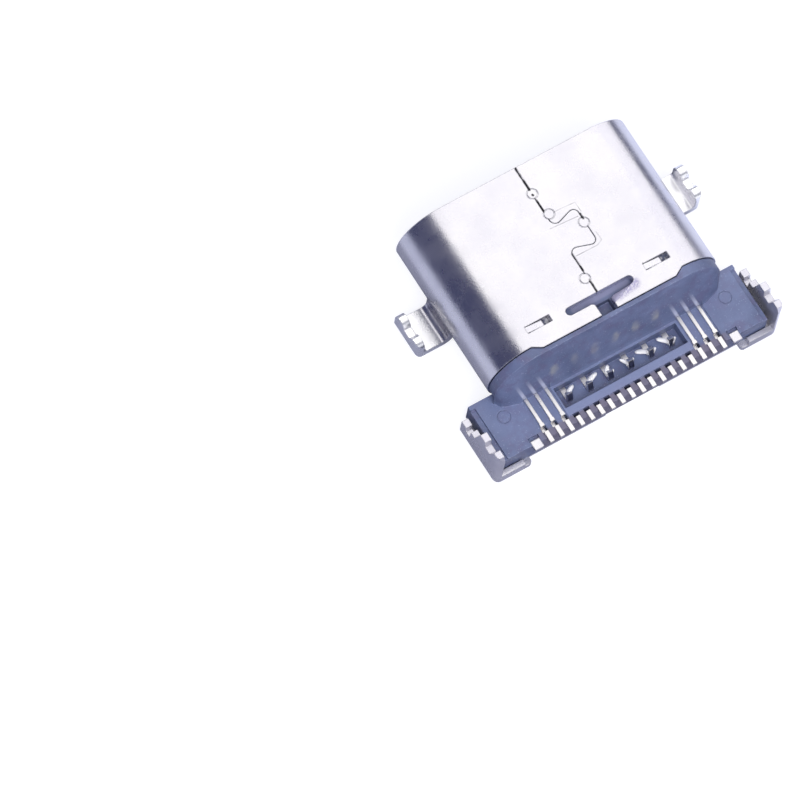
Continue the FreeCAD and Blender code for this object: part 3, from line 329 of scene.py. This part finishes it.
# one procedural surface: two mottled tones, worn edges, patchy roughness and a fine bump;
# overlay paints the marks of one piece over its tones
def finish(name, look, overlay=None):
    made = bpy.data.materials.new(name)
    made.use_nodes = True
    tree = made.node_tree
    shader = tree.nodes["Principled BSDF"]
    place = tree.nodes.new("ShaderNodeTexCoord").outputs["Object"]
    mottle = noise(tree, place, look["mottle"] / mm, 4, 0.6)
    colour = mix(tree, ramp(tree, mottle, masks["mottle"]), look["tone"], look["second"])
    speck = noise(tree, place, look["speck"] / mm, 2, 0.7)
    wear = mix(tree, 1.0, edges(tree, look["edge"] * mm), ramp(tree, speck, masks["speck"]), "MULTIPLY")
    colour = mix(tree, wear, colour, look["worn"])
    if "line" in look:
        reach, amount, dark = look["line"]
        colour = mix(tree, times(tree, edges(tree, reach * mm), amount), colour, dark)
    if overlay:
        colour = overlay(tree, place, colour)
    link(tree, colour, shader.inputs["Base Color"])
    patch = noise(tree, place, look["patch"] / mm, 5, 0.65)
    link(tree, ramp(tree, patch, list(zip(masks["patch"], look["rough"]))), shader.inputs["Roughness"])
    shader.inputs["Metallic"].default_value = look["metal"]
    bump = tree.nodes.new("ShaderNodeBump")
    bump.inputs["Strength"].default_value = look["bump"]
    bump.inputs["Distance"].default_value = look["depth"] * mm
    link(tree, noise(tree, place, look["grain"] / mm, 3, 0.6), bump.inputs["Height"])
    bevel = tree.nodes.new("ShaderNodeBevel")
    bevel.samples = masks["bevelSamples"]
    bevel.inputs["Radius"].default_value = look["soft"] * mm
    link(tree, bevel.outputs["Normal"], bump.inputs["Normal"])
    link(tree, bump.outputs["Normal"], shader.inputs["Normal"])
    return made


# mottle, speck, patch and grain are noise scales per millimetre, edge, soft and depth are millimetres,
# and line is the reach, amount and colour of the dark line at an edge
nickel = {"tone": (0.75, 0.74, 0.77), "second": (0.69, 0.68, 0.73), "worn": (0.90, 0.90, 0.93),
          "mottle": 0.7, "speck": 9, "edge": 0.07, "soft": 0.05, "patch": 0.9, "rough": (0.2, 0.34),
          "metal": 1.0, "grain": 17, "bump": 0.32, "depth": 0.01, "line": (0.016, 0.7, (0.05, 0.05, 0.07))}
coverNickel = dict(nickel, tone=(0.72, 0.71, 0.76), second=(0.65, 0.64, 0.71), rough=(0.22, 0.38),
                   grain=10, bump=0.14, metal=0.75)
plastic = {"tone": (0.104, 0.130, 0.236), "second": (0.155, 0.190, 0.33), "worn": (0.30, 0.34, 0.52),
           "mottle": 0.9, "speck": 12, "edge": 0.05, "soft": 0.04, "patch": 1.2, "rough": (0.36, 0.5),
           "metal": 0.0, "grain": 22, "bump": 0.22, "depth": 0.012}
darkPlastic = dict(plastic, tone=(0.05, 0.06, 0.12), second=(0.07, 0.08, 0.15), worn=(0.12, 0.14, 0.24))
warmNickel = dict(nickel, tone=(0.88, 0.86, 0.86), second=(0.82, 0.80, 0.79), worn=(0.96, 0.95, 0.94),
                 edge=0.03, soft=0.025, rough=(0.25, 0.4))

groundSteel = finish("groundSteel", coverNickel)
finishes = {"shell": finish("shellNickel", nickel, sheetMarks),
            "cover_plate": finish("coverNickel", coverNickel),
            "housing": finish("housingPlastic", plastic, mouldingMarks),
            "tongue": finish("tonguePlastic", darkPlastic),
            "mid_plate": finish("plateSteel", nickel),
            "ground_plate_upper": groundSteel, "ground_plate_lower": groundSteel}
contactFinish = finish("contactPlating", warmNickel)
for name, node in nodes.items():
    node.data.materials.clear()
    node.data.materials.append(finishes.get(name, contactFinish))
print("scene: materials made")


# a closed piece through rings of corners, each ring in the same order
def ringPiece(name, rings, material):
    mesh = bmesh.new()
    rings = [[mesh.verts.new(corner) for corner in ring] for ring in rings]
    for first, second in zip(rings, rings[1:]):
        for side in range(len(first)):
            other = (side + 1) % len(first)
            mesh.faces.new((first[side], first[other], second[other], second[side]))
    mesh.faces.new(rings[0][::-1])
    mesh.faces.new(rings[-1])
    bmesh.ops.recalc_face_normals(mesh, faces=mesh.faces)
    data = bpy.data.meshes.new(name)
    mesh.to_mesh(data)
    mesh.free()
    data.materials.append(material)
    piece = bpy.data.objects.new(name, data)
    bpy.context.scene.collection.objects.link(piece)
    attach(piece, "root")
    return piece


# the pins in the recess end in scraps where their carrier was sheared off, each bent its own way;
# a scrap is a ribbon through (x, y, z, width) stops
scraps = {
    "thickness": 0.07, "roundedBy": 2,
    "look": dict(nickel, tone=(0.92, 0.92, 0.92), second=(0.80, 0.80, 0.82), rough=(0.35, 0.5),
                 bump=0.3, grain=12, metal=0.45),
    "stops": {
        "flake_1": [(2.03, 7.12, 0.66, 0.12), (2.06, 7.05, 0.90, 0.18), (1.95, 6.95, 0.99, 0.22),
                    (1.70, 6.84, 1.00, 0.13)],
        "flake_2": [(1.22, 7.15, 0.66, 0.12), (1.28, 7.04, 0.90, 0.20), (1.10, 6.94, 0.99, 0.24),
                    (0.78, 6.86, 1.01, 0.14)],
        "flake_3": [(0.42, 7.14, 0.66, 0.12), (0.49, 7.03, 0.90, 0.19), (0.45, 6.92, 0.99, 0.21),
                    (0.34, 6.80, 1.01, 0.12)],
        "flake_4": [(-0.35, 7.16, 0.66, 0.12), (-0.30, 7.07, 0.90, 0.15), (-0.20, 6.95, 0.98, 0.17),
                    (-0.08, 6.82, 1.0, 0.10)],
        "flake_5": [(-1.20, 7.16, 0.66, 0.12), (-1.12, 7.06, 0.91, 0.17), (-0.92, 6.97, 1.0, 0.23),
                    (-0.65, 6.87, 1.01, 0.14)],
        "flake_6": [(-1.98, 7.19, 0.66, 0.12), (-1.90, 7.08, 0.90, 0.16), (-1.74, 6.96, 1.0, 0.23),
                    (-1.52, 6.82, 1.01, 0.13)],
        "burr_3": [(0.40, 7.13, 0.70, 0.10), (0.33, 7.08, 0.90, 0.12), (0.24, 7.02, 0.97, 0.10)],
        "burr_4": [(-0.37, 7.15, 0.70, 0.10), (-0.46, 7.08, 0.90, 0.13), (-0.56, 6.99, 0.98, 0.10)],
        "burr_5": [(-1.22, 7.15, 0.70, 0.10), (-1.31, 7.10, 0.90, 0.13), (-1.40, 7.04, 0.98, 0.11)],
        "burr_6": [(-2.0, 7.18, 0.70, 0.10), (-2.09, 7.11, 0.90, 0.13), (-2.17, 7.04, 0.98, 0.12)],
    },
}


def makeScrap(name, stops, material):
    rings = []
    for number, (x, y, z, width) in enumerate(stops):
        before, after = stops[max(number - 1, 0)], stops[min(number + 1, len(stops) - 1)]
        along = Vector(after[:3]) - Vector(before[:3])
        across = along.cross(Vector((0, 0, 1))).normalized() * width / 2
        lift = across.cross(along).normalized() * scraps["thickness"] / 2
        if lift.z < 0:
            lift = -lift
        corners = [across + lift, -across + lift, -across - lift, across - lift]
        rings.append([at(x, y, z) + corner * mm for corner in corners])
    piece = ringPiece(name, rings, material)
    for face in piece.data.polygons:
        face.use_smooth = True
    rounded = piece.modifiers.new("rounded", "SUBSURF")
    rounded.levels = rounded.render_levels = scraps["roundedBy"]


scrapFinish = finish("flakePlating", scraps["look"])
for name, stops in scraps["stops"].items():
    makeScrap(name, stops, scrapFinish)
print("scene:", len(scraps["stops"]), "scraps made on the sheared pins")


# beside the slot's neck a strip of the sheet is pressed down: it folds along a slanting line, and its
# front follows the slot; a column is x and how far its rounded corner draws the front back
finger = {"fold": [(-1.15, 5.47), (-0.31, 5.79)], "tuckedUnder": 0.02, "front": 5.47, "top": 3.356,
          "drop": 0.15, "bend": 1.4, "sheet": 0.14, "rows": 5,
          "columns": [(-1.06, 0), (-0.96, 0), (-0.86, 0), (-0.76, 0), (-0.66, 0), (-0.56, 0), (-0.48, 0),
                      (-0.42, 0.01), (-0.37, 0.04), (-0.34, 0.09)],
          # its look is a darker, purple copy of the nickel: painted shade on the pressed-down strip
          "look": dict(nickel, tone=(0.60, 0.58, 0.76), second=(0.42, 0.40, 0.56), metal=0.4,
                       worn=(0.62, 0.60, 0.76), line=(0.016, 0.3, (0.05, 0.05, 0.07)))}


def makeFinger():
    (x0, y0), (x1, y1) = finger["fold"]
    rings = []
    for x, drawnBack in finger["columns"]:
        share = (x - x0) / (x1 - x0)
        foldY = y0 + (y1 - y0) * share + finger["tuckedUnder"]
        frontY = finger["front"] + drawnBack
        upper = []
        for row in range(finger["rows"] + 1):
            part = row / finger["rows"]
            sunk = finger["drop"] * share * part ** finger["bend"]
            upper.append((x, foldY + (frontY - foldY) * part, finger["top"] - sunk))
        lower = [(x, y, z - finger["sheet"]) for x, y, z in reversed(upper)]
        rings.append([at(*point) for point in upper + lower])
    ringPiece("slot_finger", rings, finish("fingerShadedNickel", finger["look"]))


makeFinger()
print("scene: pressed strip made beside the slot")


# white to the camera; for the metal's mirror rays the floor glows with painted light, dim under the part's
# edges as painted shadow and bright beside it
ground = {"reach": 0.4, "level": -0.02 * mm, "base": (0.27, 0.28, 0.36), "roughness": 0.8,
          "seen": 0.84, "seenColour": (1, 1, 1), "mirrored": 0.06, "mirroredColour": (0.8, 0.84, 1),
          # painted light in the mirrors: bands to either side of the part where the floor's glow for
          # mirror rays is raised
          "bright": [(0.7, [("across", -6.2, -5.0), ("across", -15.0, -28.0)]),
                     (0.40, [("across", 8.2, 6.0)])]}


def makeGround():
    mesh = bpy.data.meshes.new("floor")
    reach, level = ground["reach"], ground["level"]
    corners = [(-reach, -reach, level), (reach, -reach, level), (reach, reach, level),
               (-reach, reach, level)]
    mesh.from_pydata(corners, [], [(0, 1, 2, 3)])
    floor = bpy.data.objects.new("floor", mesh)
    bpy.context.scene.collection.objects.link(floor)
    made = bpy.data.materials.new("floor")
    made.use_nodes = True
    tree = made.node_tree
    shader = tree.nodes["Principled BSDF"]
    shader.inputs["Base Color"].default_value = (*ground["base"], 1)
    shader.inputs["Roughness"].default_value = ground["roughness"]
    shader.inputs["Specular IOR Level"].default_value = 0.0
    rays = tree.nodes.new("ShaderNodeLightPath").outputs
    link(tree, mix(tree, rays["Is Camera Ray"], ground["mirroredColour"], ground["seenColour"]),
         shader.inputs["Emission Color"])
    mirrors = calc(tree, "MAXIMUM", rays["Is Glossy Ray"], rays["Is Transmission Ray"])
    axes = inMillimetres(tree, tree.nodes.new("ShaderNodeTexCoord").outputs["Object"])
    # painted shadow and light for the mirrors: a dim glow near the part, raised in the bands beside it
    beside = ground["mirrored"]
    for strength, limits in ground["bright"]:
        beside = calc(tree, "ADD", times(tree, where(tree, axes, limits), strength), beside)
    glow = calc(tree, "ADD", times(tree, rays["Is Camera Ray"], ground["seen"]),
                times(tree, mirrors, beside))
    link(tree, glow, shader.inputs["Emission Strength"])
    mesh.materials.append(made)


makeGround()
print("scene: floor placed")

centre = at(0, 4.1, 1.2)
# long cards that only the metal sees, between two tilts in degrees from upright towards the right;
# the first one stands where the flat faces mirror it to the camera
cards = {"away": 0.335, "behind": -0.102, "long": 0.6,
         "tilts": {"card": (-13.5, 32.7, 1.31, (1, 0.985, 0.93)),
                   "sideCard": (32.7, 76.5, 1.26, (0.98, 0.965, 0.95)),
                   "lowCard": (80, 96, 0.05, (0.8, 0.85, 1))}}
# a lamp's place from the middle of the part, its size, brightness and colour, and what it lights
lamps = {"rearCard": ((-0.0945, 0.3115, 0.105), (0.3, 0.14), 0.8, (1, 1, 1), "gloss"),
         "overhead": ((0.05, 0.13, 0.24), (0.24, 0.24), 4.8, (1, 0.99, 1), "diffuse"),
         "rim": ((0.24, 0.05, 0.16), (0.03, 0.16), 0.9, (0.9, 0.92, 1), "gloss")}


# a soft lamp that faces the part with the given brightness and lights only the gloss or the diffuse
def areaLight(name, offset, size, strength, colour, lights):
    data = bpy.data.lights.new(name, "AREA")
    data.shape = "RECTANGLE"
    data.size, data.size_y = size
    data.energy = strength * math.pi * size[0] * size[1]
    data.color = colour
    lamp = bpy.data.objects.new(name, data)
    back = Vector(offset).normalized()
    across = Vector((0, 1, 0)).cross(back).normalized()
    turnTo = Matrix((across, back.cross(across), back)).transposed()
    lamp.matrix_world = Matrix.Translation(centre + Vector(offset)) @ turnTo.to_4x4()
    lamp.visible_diffuse = lights == "diffuse"
    lamp.visible_glossy = lights == "gloss"
    bpy.context.scene.collection.objects.link(lamp)


def mirrorCard(name, first, last, strength, colour):
    middle, half = math.radians((first + last) / 2), math.radians((last - first) / 2)
    away = cards["away"]
    offset = (-math.sin(middle) * away, cards["behind"], math.cos(middle) * away)
    areaLight(name, offset, (2 * away * math.tan(half), cards["long"]), strength, colour, "gloss")


for name, card in cards["tilts"].items():
    mirrorCard(name, *card)
for name, lamp in lamps.items():
    areaLight(name, *lamp)
print("scene:", len(cards["tilts"]), "cards and", len(lamps), "lamps placed")


# the room is dim and blue to both sides of the part, and paler behind its tails and before its mouth;
# the limits are of the direction's y
room = {"sides": (0.052, 0.058, 0.135), "ends": (0.38, 0.39, 0.45), "behind": (0.60, 0.17),
        "before": (-0.58, -0.46)}


def makeRoom():
    world = bpy.data.worlds.new("world")
    world.use_nodes = True
    tree = world.node_tree
    towards = tree.nodes.new("ShaderNodeSeparateXYZ")
    link(tree, tree.nodes.new("ShaderNodeTexCoord").outputs["Generated"], towards.inputs["Vector"])
    toEnds = calc(tree, "MAXIMUM", fade(tree, towards.outputs["Y"], *room["behind"]),
                  fade(tree, towards.outputs["Y"], *room["before"]))
    background = tree.nodes["Background"]
    link(tree, mix(tree, toEnds, room["sides"], room["ends"]), background.inputs["Color"])
    background.inputs["Strength"].default_value = 1.0
    bpy.context.scene.world = world


makeRoom()
print("scene: room made")
